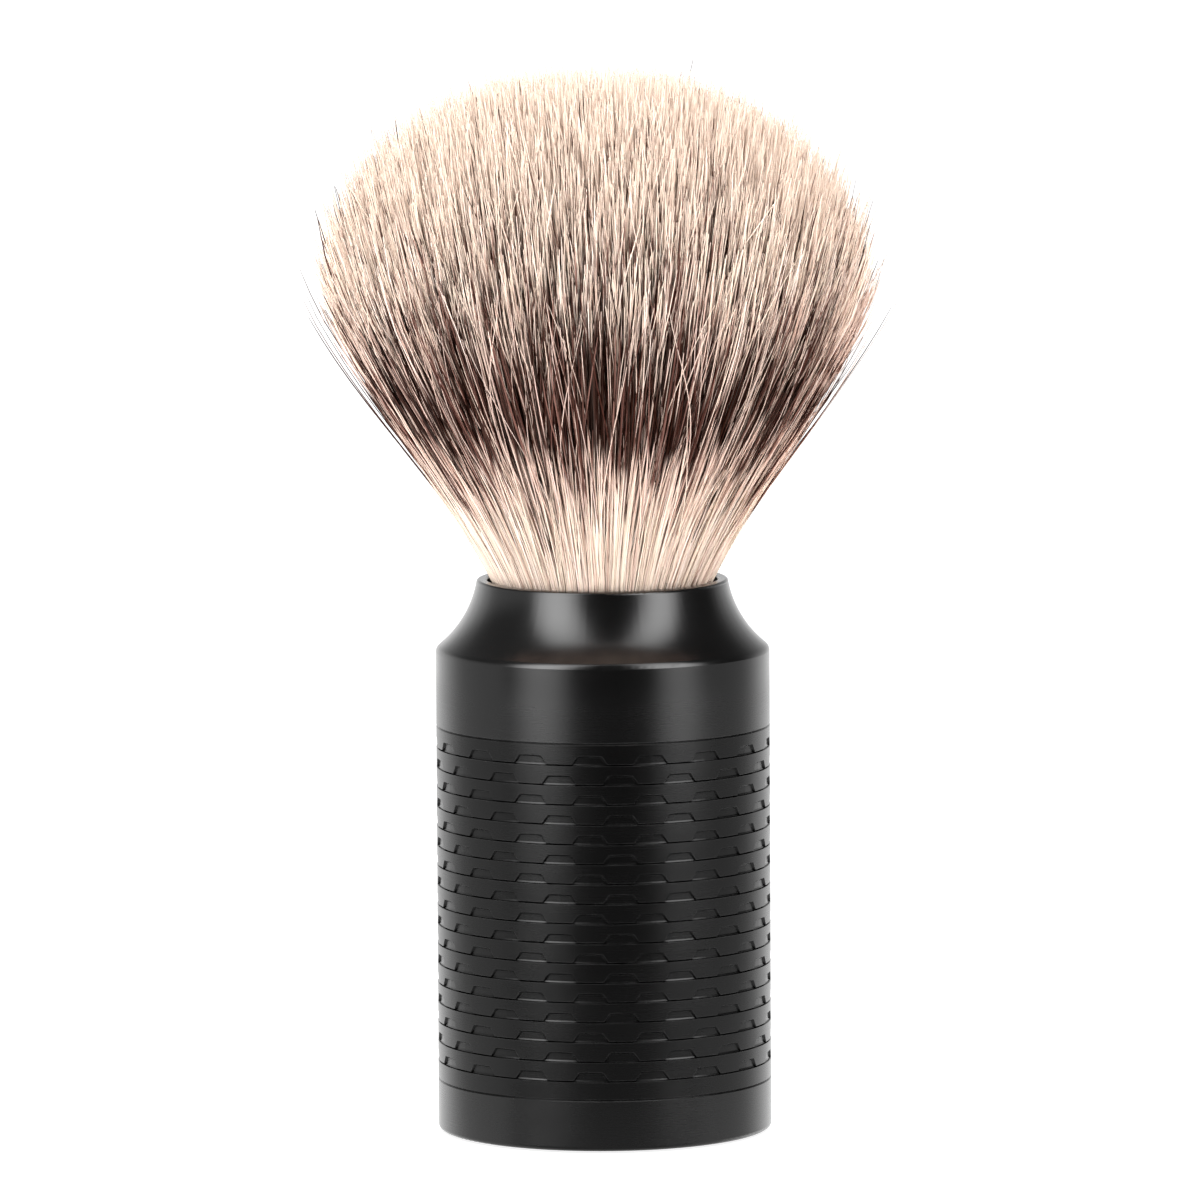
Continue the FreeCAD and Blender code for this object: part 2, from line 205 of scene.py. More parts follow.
# The metal's two tall soft boxes stand on the floor: name, degrees round from the front, width, radiance
METAL_BOXES = (("metal_left", -43.0, 0.40, 6.3), ("metal_right", 54.0, 0.34, 5.6))
METAL_BOX_DISTANCE = 0.36
METAL_BOX_TALL = 0.88
METAL_BOX_MIDDLE_Z = 0.43
METAL_BOX_AIM = (0.0, 0.0, 0.33)
METAL_BOX_TOP_SHARE = 0.25
METAL_BOX_FADES_FROM = 0.35

# The small one overhead
METAL_TOP_DISTANCE = 0.12
METAL_TOP_Z = 0.90
METAL_TOP_AIM = (0.0, 0.0, 0.05)
METAL_TOP_WIDTH = 0.50
METAL_TOP_RADIANCE = 0.85

# The fibres' square soft boxes: name, degrees round from the front, distance, height, width, radiance
FIBRE_BOXES = (
    ("fibres_left", -42.0, 0.9, 0.30, 0.6, 14.0),
    ("fibres_right", 48.0, 0.9, 0.28, 0.6, 12.4),
    ("fibres_top", 0.0, 0.0, 1.00, 0.8, 2.4),
    ("fibres_back_left", -118.0, 0.9, 0.30, 0.6, 8.5),
    ("fibres_back_right", 118.0, 0.9, 0.30, 0.6, 8.5),
)
FIBRE_BOX_AIM = (0.0, 0.0, 0.085)


def make_area_light(name, place, aim, width, height, radiance):
    """A rectangular soft box at place, facing aim."""
    data = bpy.data.lights.new(name, "AREA")
    data.shape = "RECTANGLE"
    data.size, data.size_y = width, height
    data.energy = radiance * math.pi * width * height
    light = bpy.data.objects.new(name, data)
    light.location = place
    light.rotation_euler = (Vector(aim) - Vector(place)).to_track_quat("-Z", "Y").to_euler()
    light.visible_camera = False
    bpy.context.scene.collection.objects.link(light)
    return light


def around(azimuth, distance, height):
    """The point at azimuth degrees from the front, to the right if positive, round the brush's axis."""
    turn = math.radians(azimuth)
    return (math.sin(turn) * distance, -math.cos(turn) * distance, height)


def soften(light):
    """The box is brightest along its upright middle line, and fades to its sides and towards its top."""
    light.data.use_nodes = True
    nodes = Nodes(light.data.node_tree)
    across, upwards, _ = nodes.split(nodes.node("ShaderNodeNewGeometry").outputs["Parametric"])
    arch = nodes.math("SINE", nodes.math("MULTIPLY", across, math.pi))
    fade = nodes.ranged(upwards, METAL_BOX_FADES_FROM, 1.0, 1.0, METAL_BOX_TOP_SHARE, smooth=True)
    nodes.link(nodes.math("MULTIPLY", arch, fade), nodes.tree.nodes["Emission"].inputs["Strength"])


def falls_on(light, collection):
    """This light reaches only the pieces in the collection."""
    light.light_linking.receiver_collection = collection


def make_lights():
    """For the metal, two tall soft boxes and a small one overhead. For the fibres, larger ones in front,
    above and behind."""
    for name, azimuth, width, radiance in METAL_BOXES:
        place = around(azimuth, METAL_BOX_DISTANCE, METAL_BOX_MIDDLE_Z)
        box = make_area_light(name, place, METAL_BOX_AIM, width, METAL_BOX_TALL, radiance)
        soften(box)
        falls_on(box, metal_collection)
    top_place = around(0.0, METAL_TOP_DISTANCE, METAL_TOP_Z)
    top = make_area_light(
        "metal_top", top_place, METAL_TOP_AIM, METAL_TOP_WIDTH, METAL_TOP_WIDTH, METAL_TOP_RADIANCE)
    falls_on(top, metal_collection)
    for name, azimuth, distance, height, width, radiance in FIBRE_BOXES:
        place = around(azimuth, distance, height)
        box = make_area_light(name, place, FIBRE_BOX_AIM, width, width, radiance)
        falls_on(box, fibre_collection)


# How bright the world is to the camera, and as soft light on everything
SEEN_WHITE = 1.05
SOFT_LIGHT = 0.75

# How bright the studio is that the metal mirrors: low down, and higher up. The border between the two is
# lower on the right
LOW_IN_FRONT, LOW_BEHIND = 0.05, 0.78
HIGH_LEFT, HIGH_RIGHT = 0.20, 0.07
HIGH_IN_FRONT_SHARE = 0.15
BORDER_SLOPE = 0.2
BORDER_FROM, BORDER_TO = -0.05, 0.30


def make_world():
    """White to the camera, and a soft even light to the rest. The metal mirrors a studio instead: dark in
    front, pale at the sides and behind, dimmer higher up, and with a bright backdrop."""
    world = bpy.data.worlds.new("studio")
    bpy.context.scene.world = world
    world.use_nodes = True
    nodes = Nodes(world.node_tree)
    nodes.tree.nodes.clear()

    def background(strength):
        made = nodes.node("ShaderNodeBackground")
        nodes.feed(made.inputs["Strength"], strength)
        return made

    def chosen(share, first, second):
        """The shader that is second where share is 1, and first elsewhere."""
        made = nodes.node("ShaderNodeMixShader")
        for socket, source in zip(made.inputs, (share, first, second)):
            nodes.link(source, socket)
        return made.outputs[0]

    rightwards, backwards, upwards = nodes.split(nodes.node("ShaderNodeTexCoord").outputs["Generated"])
    low_down = nodes.ranged(backwards, -0.50, -0.20, LOW_IN_FRONT, LOW_BEHIND, smooth=True)
    high_up = nodes.math(
        "MULTIPLY",
        nodes.ranged(rightwards, -0.5, 0.5, HIGH_LEFT, HIGH_RIGHT, smooth=True),
        nodes.ranged(backwards, -0.6, -0.1, HIGH_IN_FRONT_SHARE, 1.0, smooth=True))
    leaning = nodes.math("MULTIPLY_ADD", rightwards, BORDER_SLOPE, upwards)
    blend = nodes.node("ShaderNodeMix")
    nodes.link(nodes.ranged(leaning, BORDER_FROM, BORDER_TO, 0.0, 1.0, smooth=True), blend.inputs[0])
    nodes.link(low_down, blend.inputs[2])
    nodes.link(high_up, blend.inputs[3])
    backdrop = nodes.math(
        "MULTIPLY",
        nodes.ranged(backwards, 0.35, 0.85, 0.0, 1.0, smooth=True),
        nodes.ranged(upwards, 0.1, 0.6, 1.0, 0.0, smooth=True))
    mirrored = background(nodes.math("ADD", blend.outputs[0], backdrop))
    seen = background(SEEN_WHITE)
    seen.inputs["Color"].default_value = (1, 1, 1, 1)
    soft = background(SOFT_LIGHT)
    path = nodes.node("ShaderNodeLightPath")
    lit = chosen(path.outputs["Is Camera Ray"], soft.outputs[0], seen.outputs[0])
    every = chosen(path.outputs["Is Glossy Ray"], lit, mirrored.outputs[0])
    nodes.link(every, nodes.node("ShaderNodeOutputWorld").inputs[0])


FLOOR_HALF_WIDTH = 12.0
FLOOR_WHITE = 0.86
FLOOR_GLOW = 0.85

# The patch of floor that the metal mirrors, a hair's breadth below the floor
PATCH_RADIUS = 0.16
PATCH_SPOKES = 48
PATCH_GLOW = 0.24
PATCH_BELOW_FLOOR = 0.0001


def make_floor():
    """A wide white floor. Its own faint light keeps it white to the horizon."""
    half = FLOOR_HALF_WIDTH
    mesh = bpy.data.meshes.new("floor")
    corners = [(-half, -half, 0.0), (half, -half, 0.0), (half, half, 0.0), (-half, half, 0.0)]
    mesh.from_pydata(corners, [], [(0, 1, 2, 3)])
    floor = bpy.data.objects.new("floor", mesh)
    bpy.context.scene.collection.objects.link(floor)
    material = bpy.data.materials.new("floor_white")
    material.use_nodes = True
    shader = material.node_tree.nodes["Principled BSDF"]
    shader.inputs["Base Color"].default_value = (FLOOR_WHITE, FLOOR_WHITE, FLOOR_WHITE, 1)
    shader.inputs["Roughness"].default_value = 0.9
    shader.inputs["Specular IOR Level"].default_value = 0.0
    shader.inputs["Emission Color"].default_value = (1, 1, 1, 1)
    shader.inputs["Emission Strength"].default_value = FLOOR_GLOW
    mesh.materials.append(material)
    floor.visible_glossy = False


def make_floor_mirrored():
    """The lit patch of floor round the foot, which only the metal mirrors. It fades out from the foot."""
    mesh = bpy.data.meshes.new("floor_patch")
    turns = [2 * math.pi * spoke / PATCH_SPOKES for spoke in range(PATCH_SPOKES)]
    rim = [(PATCH_RADIUS * math.cos(turn), PATCH_RADIUS * math.sin(turn), 0.0) for turn in turns]
    mesh.from_pydata(rim, [], [tuple(range(PATCH_SPOKES))])
    patch = bpy.data.objects.new("floor_patch", mesh)
    patch.location.z = -PATCH_BELOW_FLOOR
    bpy.context.scene.collection.objects.link(patch)
    look = Look("floor_patch")
    distance = look.node("ShaderNodeVectorMath", operation="LENGTH")
    look.link(look.place, distance.inputs[0])
    glow = look.ranged(distance.outputs["Value"], BODY_RADIUS, PATCH_RADIUS, PATCH_GLOW, 0.0)
    emission = look.node("ShaderNodeEmission")
    look.link(glow, emission.inputs["Strength"])
    clear = look.node("ShaderNodeBsdfTransparent")
    both = look.node("ShaderNodeAddShader")
    look.link(emission.outputs[0], both.inputs[0])
    look.link(clear.outputs[0], both.inputs[1])
    look.link(both.outputs[0], look.tree.nodes["Material Output"].inputs["Surface"])
    mesh.materials.append(look.material)
    patch.visible_camera = False
    patch.visible_diffuse = False
    patch.visible_shadow = False


# ---------------------------------------------------------------- materials of the handle

# The anodised aluminium: its colour, its turned rings, how far into the grooves their painted shade
# reaches, how wide the painted highlight on a sharp edge is, and the heights between which the grip's
# finish turns into the neck's
ANODISED_DARK = (0.0006, 0.0006, 0.0006)
ANODISED_PALE = (0.0014, 0.0013, 0.0013)
TURNED_RINGS_PER_METRE = 9000
TURNING_STRENGTH = 0.008
TURNING_DEPTH = 0.00001
GROOVE_REACH = 0.0004
EDGE_HIGHLIGHT_RADIUS = 0.00012
NECK_FROM_Z, NECK_SMOOTH_FROM_Z = 0.044, 0.047
NECK_ROUGHNESS_CHANGE = -0.05


def satin_black(name, seed, index, shine):
    """Black anodised aluminium, finely turned: rings too fine to count, a painted highlight along sharp
    edges, in patches of a grey as bright as shine, and painted shade in the grooves, where the gloss is
    turned down. The neck is a little smoother than the rest."""
    look = Look(name)
    turning = look.noise(1.0, 2.0, 0.6, stretch=(60 + seed, 60, TURNED_RINGS_PER_METRE))
    cloud = look.noise(120.0 + seed, 4.0, 0.6)
    base = look.mix(cloud, ANODISED_DARK, ANODISED_PALE)
    hollow = look.node("ShaderNodeAmbientOcclusion", samples=6, only_local=True)
    hollow.inputs["Distance"].default_value = GROOVE_REACH
    openness = look.ranged(hollow.outputs["AO"], 0.45, 0.95, 0.0, 1.0, smooth=True)
    patchy = look.ranged(look.noise(420.0, 3.0), 0.35, 0.7, 0.3, 1.0)
    # Painted highlight: sharp edges turn a pale grey, in patches, and not down in the grooves.
    edge_highlight = look.math("MULTIPLY", look.math("MULTIPLY", look.edges(EDGE_HIGHLIGHT_RADIUS), patchy), openness)
    colour = look.mix(edge_highlight, base, (shine, shine, shine))
    # Painted shade: the gloss is turned down in the grooves, so that they look darker.
    look.link(look.math("MULTIPLY", openness, 0.5), look.shader.inputs["Specular IOR Level"])
    height = look.split(look.place)[2]
    neck = look.ranged(height, NECK_FROM_Z, NECK_SMOOTH_FROM_Z, 0.0, NECK_ROUGHNESS_CHANGE, smooth=True)
    cloudy = look.ranged(cloud, 0.3, 0.7, 0.25, 0.29)
    ringed = look.ranged(turning, 0.3, 0.7, -0.01, 0.01)
    roughness = look.math("ADD", look.math("ADD", cloudy, ringed), neck)
    return look.finish(colour, roughness, look.bump(turning, TURNING_STRENGTH, TURNING_DEPTH), IOR=index)


def machined_metal(name, dark, light, roughness, metres_between_lines):
    """Bare turned metal with tool lines round the axis."""
    look = Look(name)
    lines = look.noise(1.0, 3.0, 0.6, stretch=(40, 40, 1 / metres_between_lines))
    cloud = look.noise(160.0, 4.0)
    colour = look.mix(look.math("MULTIPLY", lines, cloud), dark, light)
    clouded = look.ranged(cloud, 0.3, 0.7, roughness, roughness + 0.1)
    rough = look.math("ADD", clouded, look.math("MULTIPLY", lines, 0.08))
    return look.finish(colour, rough, look.bump(lines, 0.35, 0.00004), Metallic=1.0)


def rubber(name, seed):
    """Black rubber with a fine grain."""
    look = Look(name)
    cloud = look.noise(220.0 + seed, 5.0, 0.65)
    grain = look.noise(5200.0, 2.0)
    colour = look.ramp(cloud, [(0.3, (0.010, 0.010, 0.010)), (0.7, (0.024, 0.023, 0.023))])
    return look.finish(colour, look.ranged(grain, 0.3, 0.7, 0.62, 0.82), look.bump(grain, 0.4, 0.00004))


def moulded_plastic(name):
    """Near-black plastic with the faint grain of its mould."""
    look = Look(name)
    cloud = look.noise(180.0, 4.0)
    grain = look.noise(3800.0, 2.0)
    colour = look.ramp(cloud, [(0.3, (0.016, 0.016, 0.017)), (0.7, (0.030, 0.030, 0.031))])
    return look.finish(colour, look.ranged(grain, 0.3, 0.7, 0.38, 0.50), look.bump(grain, 0.2, 0.00002))


def resin(name):
    """Cloudy amber resin."""
    look = Look(name)
    cloud = look.noise(260.0, 4.0)
    colour = look.ramp(cloud, [(0.3, (0.36, 0.24, 0.11)), (0.7, (0.58, 0.42, 0.22))])
    return look.finish(colour, look.ranged(cloud, 0.3, 0.7, 0.16, 0.30), look.bump(cloud, 0.2, 0.0001))


def waxed_cord(name):
    """Pale cord whose twist shows as slanting bands."""
    look = Look(name)
    wave = look.node("ShaderNodeTexWave", wave_type="BANDS", bands_direction="DIAGONAL")
    wave.inputs["Scale"].default_value = 900.0
    wave.inputs["Distortion"].default_value = 2.0
    look.link(look.place, wave.inputs["Vector"])
    twist = wave.outputs["Fac"]
    colour = look.mix(twist, (0.42, 0.34, 0.22), (0.74, 0.66, 0.50))
    return look.finish(colour, look.ranged(twist, 0, 1, 0.70, 0.52), look.bump(twist, 0.5, 0.0001))


def finish_cad_nodes():
    """The CAD nodes that stay as they are get their own materials, and the metal's lights fall on them."""
    aluminium = machined_metal("core_aluminium", (0.48, 0.49, 0.50), (0.80, 0.80, 0.81), 0.28, 0.0002)
    steel = machined_metal("bolt_steel", (0.30, 0.29, 0.28), (0.62, 0.61, 0.60), 0.24, 0.0004)
    brass = machined_metal("nut_brass", (0.52, 0.34, 0.10), (0.88, 0.66, 0.30), 0.22, 0.0003)
    seals = rubber("seal_rubber", 0)
    finishes = {
        "neck_collar": satin_black("satin_black_collar", 0, 1.62, 0.09),
        "grip_sleeve": satin_black("satin_black_sleeve", 7, 1.46, 0.045),
        "base_cap": satin_black("satin_black_cap", 13, 1.58, 0.045),
        "handle_core": aluminium,
        "tie_bolt": steel,
        "spring_washer": steel,
        "base_dowel": steel,
        "collar_dowel": steel,
        "head_stud": steel,
        "coupling_nut": brass,
        "base_seal": seals,
        "collar_seal": seals,
        "head_seal": seals,
        "base_pad": rubber("pad_rubber", 31),
        "head_cup": moulded_plastic("cup_plastic"),
        "glue_plug": resin("resin"),
        "knot_binding": waxed_cord("waxed_cord"),
    }
    for name, material in finishes.items():
        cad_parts[name].material_slots[0].material = material
        metal_collection.objects.link(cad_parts[name])


# ---------------------------------------------------------------- fibres

# The knot's outline, in mm: heights, and how far out the outermost fibres stand there. A smooth curve of
# FLARE_DEGREE passes close by them. The tips lean to the left by LEAN
FLARE_AT = (
    (53.0, 9.9), (55.4, 11.2), (59.2, 13.1), (68.2, 18.6), (80.3, 25.6), (92.0, 30.0), (107.0, 34.5),
)
FLARE_DEGREE = 4
LEAN = 0.00075

# The dome of the tips, in mm: how far below the knot's top they end on the axis, and how far they fall
# outwards, with a steeper fall at the edge
DOME_GAP = 1.2
DOME_FALL = 20.0
DOME_EDGE_FALL = 5.0

# The fibres. A fibre's share is how far out it stands, from 0 on the axis to 1 at the outline. Inner fibres
# and outer ones meet at OUTER_SHARE
SEED = 20417
OUTER_SHARE = 0.86
LAYERS = 3
OUTER_IN_A_LAYER, OUTER_RINGS = 2500, 11
INNER_IN_A_LAYER, INNER_RINGS = 4800, 6
INNER_DEPTH = 24 * MM
CROSSERS, CROSSER_RINGS = 850, 18
STRAYS, STRAY_RINGS = 240, 14
TO_THE_ROOT = 1.0
ROOT_Z = BINDING_TOP_Z + 0.5 * MM

# One fibre: a tapered prism. Its first side is square to its path and to a direction that no fibre takes.
# It leaves its place in the bundle only above LOOSE_FROM_Z, and fully LOOSE_LENGTH higher up
FIBRE_SIDES = 3
NO_FIBRES_DIRECTION = (0.31, 0.87, 0.38)
TAPER_LENGTH = 0.009
TIP_SHARE = 0.36
LOOSE_FROM_Z = 0.060
LOOSE_LENGTH = 0.022
LONGER_SHARE = 0.22
WILD_SHARE = 0.22
STANDING_OUT_SHARE = 0.12

# The dark band: in mm, its mean lower end, the height from which its upper end is scattered upwards, and
# about how far that scatter reaches in inner fibres and in the outermost ones. Some fibres have their band
# early, lower down, and some are hardly dyed. In metres, the lengths over which it fades in and out
BAND_LOW = 68.4
BAND_HIGH = 72.7
BAND_REACH = (11.5, 6.6)
EARLY_SHARE = 0.10
UNDYED_SHARE = 0.07
BAND_FADE_IN = 0.0022
BAND_FADE_OUT = 0.0045

# Clumps: each fibre leans towards the nearest of these centres, above CLUMPED_FROM_Z
CLUMPS, CLUMP_RINGS = 3200, 12
CLUMPED_FROM_Z = 72 * MM

# The core that stands for the fibres packed behind them. Its top draws in over its last rings
CORE_SHARE = 0.83
CORE_COLUMNS, CORE_RINGS = 900, 22
CORE_BELOW_TIPS = 8 * MM
CORE_DRAWS_IN_FROM = 0.8
CORE_DRAWS_IN_BY = 0.55
CORE_RISES_BY = 6 * MM
CORE_POINT_ABOVE = 9 * MM

# The fibres' UV map, and the numbers that each fibre carries
CELL_COLUMNS = 128
CELL_MARGIN = 0.08
FIBRE_VALUES = ("tint", "tone", "band_low", "band_high", "band")

# The colours of undyed fibres, by tint, and of dyed ones, by tone
UNDYED_COLOURS = (
    (0.00, (0.70, 0.57, 0.46)),
    (0.35, (0.78, 0.67, 0.56)),
    (0.62, (0.77, 0.63, 0.55)),
    (0.80, (0.52, 0.35, 0.28)),
    (0.90, (0.72, 0.57, 0.51)),
    (1.00, (0.84, 0.77, 0.70)),
)
DYED_COLOURS = (
    (0.0, (0.008, 0.002, 0.001)),
    (0.5, (0.030, 0.008, 0.004)),
    (0.8, (0.080, 0.030, 0.023)),
    (1.0, (0.220, 0.110, 0.088)),
)
FLECK_COLOUR = (0.44, 0.29, 0.21)

# What the undyed colours turn to at some heights: the heights between which they turn, and how far at most
TIP_COLOUR = (0.67, 0.54, 0.45)
TIPS_FROM_Z, TIPS_ALL_Z, TIPS_MOST = 0.082, 0.100, 0.85
# Painted shade: the undyed colours darken towards the rim, where the fibres go into it.
RIM_SHADE_COLOUR = (0.44, 0.36, 0.30)
RIM_SHADE_ALL_Z, RIM_SHADE_TO_Z, RIM_SHADE_MOST = 0.0555, 0.061, 0.34
TINGE_COLOUR = (0.68, 0.45, 0.38)
TINGE_FROM_Z, TINGE_ALL_Z, TINGE_MOST = 0.062, 0.069, 0.5
TINGE_FADES_FROM_Z, TINGE_TO_Z = 0.076, 0.088


def flare(z):
    """Radius of the outermost fibres at the heights z."""
    heights = [MM * height for height, radius in FLARE_AT]
    radii = [MM * radius for height, radius in FLARE_AT]
    shape = np.polynomial.Polynomial.fit(heights, radii, FLARE_DEGREE)
    return shape(z)


def dome(share):
    """Height of the tips of fibres whose place is share of the way out from the axis."""
    return KNOT_TOP_Z - MM * (DOME_GAP + DOME_FALL * share ** 2.25 + DOME_EDGE_FALL * share ** 12)


def grown_at(z):
    """0 at the cup's top and below, 1 at the top of the knot."""
    return np.clip((z - CUP_TOP_Z) / (KNOT_TOP_Z - CUP_TOP_Z), 0, 1)


class Fibres:
    """Random places, lengths and colours for a number of fibres."""

    def __init__(self, rng, count, inner, outer):
        def chance(share):
            return rng.uniform(0, 1, count) < share

        self.rng = rng
        self.count = count
        self.share = np.sqrt(rng.uniform(inner ** 2, outer ** 2, count))
        self.angle = rng.uniform(0, 2 * math.pi, count)
        longer = np.where(chance(LONGER_SHARE), rng.uniform(0.5, 4.5, count), -0.3)
        self.tip_z = dome(self.share) + MM * (rng.normal(0, 0.6, count) + longer * self.share ** 2)
        self.thickness = MM * np.clip(rng.normal(0.175, 0.04, count), 0.08, 0.27)
        wild = chance(WILD_SHARE)
        self.drift = MM * rng.normal(0, 1.9, count) * np.where(wild, 3.4, 1.0)
        self.spread = MM * rng.normal(0, 0.35, count)
        self.wave_size = MM * rng.uniform(0.10, 0.60, (2, count)) * np.where(wild, 1.9, 1.0)
        self.wave_length = MM * rng.uniform(20, 46, (2, count))
        self.wave_phase = rng.uniform(0, 2 * math.pi, (2, count))
        self.tint = rng.uniform(0, 1, count)
        self.tone = rng.uniform(0, 1, count)
        wobble = np.cos(2 * self.angle)
        self.band_low = MM * (rng.normal(BAND_LOW, 2.0, count) + 0.9 * wobble)
        early = chance(EARLY_SHARE)
        self.band_low[early] -= MM * rng.uniform(2, 9, count)[early]
        self.thickness[early] *= 0.7
        reach = np.interp(self.share, (OUTER_SHARE, 1.0), BAND_REACH)
        self.band_high = MM * (BAND_HIGH + reach * rng.exponential(1.0, count) ** 0.6 - 2.4 * wobble)
        undyed = chance(UNDYED_SHARE)
        self.band = np.where(undyed, rng.uniform(0, 0.45, count), rng.uniform(0.95, 1, count))

    def paths(self, start_z, rings):
        """Centrelines, as an array of fibre, ring and XYZ. start_z is one height for each fibre."""
        along = np.linspace(0, 1, rings)[None, :]
        z = start_z[:, None] + (self.tip_z - start_z)[:, None] * along
        grown = grown_at(z)
        sway = grown ** 0.7
        loose = np.clip((z - LOOSE_FROM_Z) / LOOSE_LENGTH, 0, 1) ** 1.3
        outwards, aside = (
            size[:, None] * np.sin(2 * math.pi * z / length[:, None] + phase[:, None]) * sway
            for size, length, phase in zip(self.wave_size, self.wave_length, self.wave_phase)
        )
        radius = self.share[:, None] * flare(z) + self.spread[:, None] * loose + outwards
        aside = self.drift[:, None] * grown ** 1.3 + aside
        cos, sin = np.cos(self.angle)[:, None], np.sin(self.angle)[:, None]
        x = radius * cos - aside * sin - LEAN * grown ** 1.5
        y = radius * sin + aside * cos
        return np.stack([x, y, z], axis=2)


def nearest_hub(paths, centres):
    """For each path, the number of the clump centre whose tip is nearest to its own tip."""
    tips, hubs = paths[:, -1, :2], centres[:, -1, :2]
    return np.argmin((hubs ** 2).sum(axis=1)[None, :] - 2 * tips @ hubs.T, axis=1)


def clumped(paths, target, pull):
    """The paths drawn towards their points in target, more and more from CLUMPED_FROM_Z up. A path's pull
    is the share of the gap that it would close at the top of the knot."""
    tips = paths[:, -1, :2]
    z = paths[:, :, 2]
    share = np.clip((z - CLUMPED_FROM_Z) / (KNOT_TOP_Z - CLUMPED_FROM_Z), 0, 1) ** 2 * pull[:, None]
    moved = paths.copy()
    gap = (target - tips)[:, None, :]
    moved[:, :, :2] += gap * share[:, :, None]
    return moved


def lay_out(mesh, count, rings):
    """The mesh's UV map: each fibre has its own cell of a grid, its sides next to each other across the
    cell and its length upwards, so that each keeps its own colours when these are baked."""
    across, upwards = [], []
    for ring in range(rings - 1):
        for edge in range(FIBRE_SIDES):
            across += [edge, edge + 1, edge + 1, edge]
            upwards += [ring, ring, ring + 1, ring + 1]
    for edge in range(FIBRE_SIDES):
        across += [edge, edge + 1, edge + 0.5]
        upwards += [rings - 1, rings - 1, rings]
    root_across, root_upwards = [0, 0.5, 0.25], [0, 0, 0.25]
    across += root_across
    upwards += root_upwards
    shape = np.stack([np.array(across) / FIBRE_SIDES, np.array(upwards) / rings], axis=1)
    rows = math.ceil(count / CELL_COLUMNS)
    cell = np.array([1 / CELL_COLUMNS, 1 / rows])
    corner = np.stack(np.divmod(np.arange(count), CELL_COLUMNS)[::-1], axis=1) * cell
    places = corner[:, None, :] + cell * (CELL_MARGIN + (1 - 2 * CELL_MARGIN) * shape[None, :, :])
    layer = mesh.uv_layers.new(name="OFBake")
    layer.data.foreach_set("uv", places.reshape(-1).astype(np.float32))


def add_numbers(mesh, key, numbers):
    """Keeps one number for each vertex, under the name key, for the material to read."""
    attribute = mesh.attributes.new(key, "FLOAT", "POINT")
    attribute.data.foreach_set("value", numbers.astype(np.float32))


def fibre_mesh(name, paths, thickness, values):
    """One mesh of closed tapered fibres. values are numbers for each fibre, kept as attributes."""
    count, rings = paths.shape[:2]
    tangent = np.gradient(paths, axis=1)
    tangent /= np.linalg.norm(tangent, axis=2, keepdims=True)
    side = np.cross(tangent, np.array(NO_FIBRES_DIRECTION))
    side /= np.linalg.norm(side, axis=2, keepdims=True)
    other = np.cross(tangent, side)
    below_tip = paths[:, -1:, 2] - paths[:, :, 2]
    taper = TIP_SHARE + (1 - TIP_SHARE) * np.clip(below_tip / TAPER_LENGTH, 0, 1) ** 0.6
    half = (thickness[:, None] / 2 * taper)[:, :, None]
    corners = [
        paths + half * (math.cos(turn) * side + math.sin(turn) * other)
        for turn in (2 * math.pi * edge / FIBRE_SIDES for edge in range(FIBRE_SIDES))
    ]
    body = np.stack(corners, axis=2).reshape(count, rings * FIBRE_SIDES, 3)
    apex = paths[:, -1:, :] + tangent[:, -1:, :] * (2.5 * half[:, -1:, :])
    vertices = np.concatenate([body, apex], axis=1)
    each = rings * FIBRE_SIDES + 1

    edges = [(edge, (edge + 1) % FIBRE_SIDES) for edge in range(FIBRE_SIDES)]
    ring_starts = [ring * FIBRE_SIDES for ring in range(rings)]
    quads = np.array([
        (low + edge, low + following, high + following, high + edge)
        for low, high in zip(ring_starts, ring_starts[1:])
        for edge, following in edges
    ])
    last = ring_starts[-1]
    tips = np.array([(last + edge, last + following, each - 1) for edge, following in edges])
    root = np.array([list(range(FIBRE_SIDES))[::-1]])
    pattern = np.concatenate([quads.ravel(), tips.ravel(), root.ravel()])
    sizes = np.concatenate([np.full(len(quads), 4), np.full(len(tips) + 1, 3)])

    mesh = bpy.data.meshes.new(name)
    mesh.vertices.add(count * each)
    mesh.vertices.foreach_set("co", vertices.reshape(-1))
    loops = (pattern[None, :] + each * np.arange(count)[:, None]).reshape(-1)
    mesh.loops.add(len(loops))
    mesh.loops.foreach_set("vertex_index", loops)
    all_sizes = np.tile(sizes, count)
    starts = np.concatenate([[0], np.cumsum(all_sizes)[:-1]])
    mesh.polygons.add(len(all_sizes))
    mesh.polygons.foreach_set("loop_start", starts)
    mesh.polygons.foreach_set("use_smooth", np.ones(len(all_sizes), bool))
    mesh.update(calc_edges=True)
    for key, numbers in values.items():
        add_numbers(mesh, key, np.repeat(numbers, each))
    lay_out(mesh, count, rings)
    return mesh


